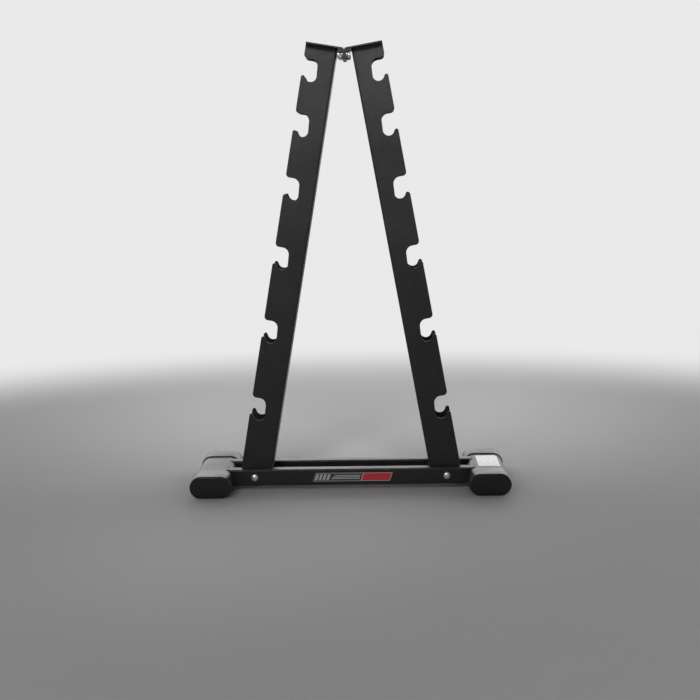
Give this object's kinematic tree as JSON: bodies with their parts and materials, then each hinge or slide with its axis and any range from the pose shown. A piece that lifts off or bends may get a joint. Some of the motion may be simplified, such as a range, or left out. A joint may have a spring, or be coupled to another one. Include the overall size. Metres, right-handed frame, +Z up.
{
  "type": "dumbbell rack",
  "caption": "Upright A-frame dumbbell rack: two leaning notched steel channels joined at the top, on two crossbars and flat-oval feet with rubber boots.",
  "frame": {"origin": "on the floor, midway between the two feet and midway between their front and rear ends", "axes": "+X towards the right-hand foot as seen from the badge side, +Y from the badge side towards the back, +Z up"},
  "size_m": [0.971, 0.388, 1.3694],
  "materials": {
    "frame_paint": "satin black powder coat with a fine orange-peel texture",
    "boot_rubber": "matte moulded black rubber",
    "zinc_hardware": "bright zinc plating",
    "badge_film": "plain printed film, grey and red, no lettering",
    "label_paper": "blank white label"
  },
  "bodies": {
    "root": {"left_foot_tube": "frame_paint", "right_foot_tube": "frame_paint", "front_crossbar": "frame_paint", "rear_crossbar": "frame_paint", "left_saddle": "frame_paint", "right_saddle": "frame_paint", "left_upright": "frame_paint", "right_upright": "frame_paint", "left_top_plate": "frame_paint", "right_top_plate": "frame_paint", "front_left_boot": "boot_rubber", "front_right_boot": "boot_rubber", "rear_left_boot": "boot_rubber", "rear_right_boot": "boot_rubber", "front_left_bolt": "zinc_hardware", "front_left_head_washer": "zinc_hardware", "front_left_nut_washer": "zinc_hardware", "front_left_nut": "zinc_hardware", "front_right_bolt": "zinc_hardware", "front_right_head_washer": "zinc_hardware", "front_right_nut_washer": "zinc_hardware", "front_right_nut": "zinc_hardware", "rear_left_bolt": "zinc_hardware", "rear_left_head_washer": "zinc_hardware", "rear_left_nut_washer": "zinc_hardware", "rear_left_nut": "zinc_hardware", "rear_right_bolt": "zinc_hardware", "rear_right_head_washer": "zinc_hardware", "rear_right_nut_washer": "zinc_hardware", "rear_right_nut": "zinc_hardware", "top_front_bolt": "zinc_hardware", "top_front_head_washer": "zinc_hardware", "top_front_spring_washer": "zinc_hardware", "top_front_nut_washer": "zinc_hardware", "top_front_nut": "zinc_hardware", "top_rear_bolt": "zinc_hardware", "top_rear_head_washer": "zinc_hardware", "top_rear_spring_washer": "zinc_hardware", "top_rear_nut_washer": "zinc_hardware", "top_rear_nut": "zinc_hardware", "front_badge": "badge_film", "foot_label": "label_paper"}
  },
  "joints": []
}
